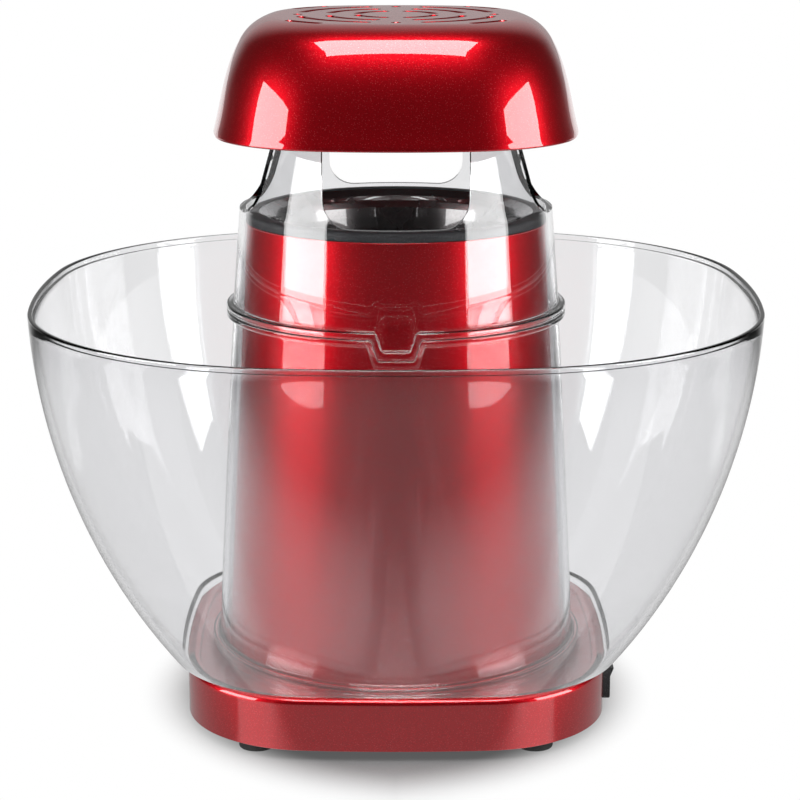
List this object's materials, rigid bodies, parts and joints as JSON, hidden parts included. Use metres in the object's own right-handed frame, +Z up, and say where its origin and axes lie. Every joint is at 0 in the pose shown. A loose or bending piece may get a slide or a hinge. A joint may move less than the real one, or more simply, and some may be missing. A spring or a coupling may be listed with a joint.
{
  "type": "popcorn maker",
  "caption": "Hot-air popcorn maker: red base and tower with a blower and heater, clear square bowl around the tower, clear windowed chimney and red vented cap.",
  "frame": {"origin": "on the table, under the middle of the base", "axes": "+Z up along the tower, -Y towards the front, +X to the side with the switch"},
  "size_m": [0.2906, 0.2906, 0.28],
  "materials": {
    "red_plastic": "metallic red with clear coat",
    "clear_plastic": "clear moulded plastic",
    "black_plastic": "fine texture",
    "black_gloss": "gloss",
    "chamber_metal": "dark anodised, glossy",
    "rubber": "matte",
    "steel": "zinc plated",
    "heat_plastic": "heat-resistant moulding",
    "mica": "pressed sheet",
    "brass": "plain",
    "board": "laminate",
    "wire_white": "silicone insulation",
    "wire_dark": "silicone insulation"
  },
  "bodies": {
    "base": {"base_housing": "red_plastic", "base_plate": "black_plastic", "foot_front_left": "rubber", "foot_front_right": "rubber", "foot_rear_left": "rubber", "foot_rear_right": "rubber", "base_screws": "steel", "frame_screws": "steel", "motor_screws": "steel", "tower_shell": "red_plastic", "tower_rim": "black_plastic", "popping_chamber": "chamber_metal", "blower_housing": "heat_plastic", "motor_can": "steel", "rectifier_board": "board", "heater_duct": "heat_plastic", "mica_boards": "mica", "heating_coil": "steel", "heater_terminals": "brass", "thermostat": "steel", "thermal_fuse": "brass", "switch_housing": "black_gloss", "switch_terminals": "brass", "cord_gland": "rubber", "terminal_block": "black_plastic", "wire_feed": "wire_dark", "wire_load": "wire_dark", "wire_return": "wire_white"},
    "fan": {"motor_shaft": "steel", "fan_impeller": "black_plastic", "fan_clip": "steel"},
    "rocker": {"switch_rocker": "black_gloss"},
    "bowl": {"bowl": "clear_plastic"},
    "chimney": {"chimney": "clear_plastic"},
    "cap": {"cap_shell": "red_plastic"}
  },
  "joints": [
    {"name": "bowl_lift", "type": "slide", "parent": "base", "child": "bowl", "axis": [0, 0, 1], "range_m": [0, 0.19]},
    {"name": "chimney_lift", "type": "slide", "parent": "bowl", "child": "chimney", "axis": [0, 0, 1], "range_m": [0, 0.055]},
    {"name": "cap_lift", "type": "slide", "parent": "chimney", "child": "cap", "axis": [0, 0, 1], "range_m": [0, 0.04]},
    {"name": "rocker_tilt", "type": "hinge", "parent": "base", "child": "rocker", "pos_m": [0.0852, -0.028, 0.0142], "axis": [0, -1, 0], "range_deg": [0, 16]},
    {"name": "fan_spin", "type": "hinge", "parent": "base", "child": "fan", "pos_m": [0, 0, 0.05], "axis": [0, 0, 1], "continuous": true}
  ]
}
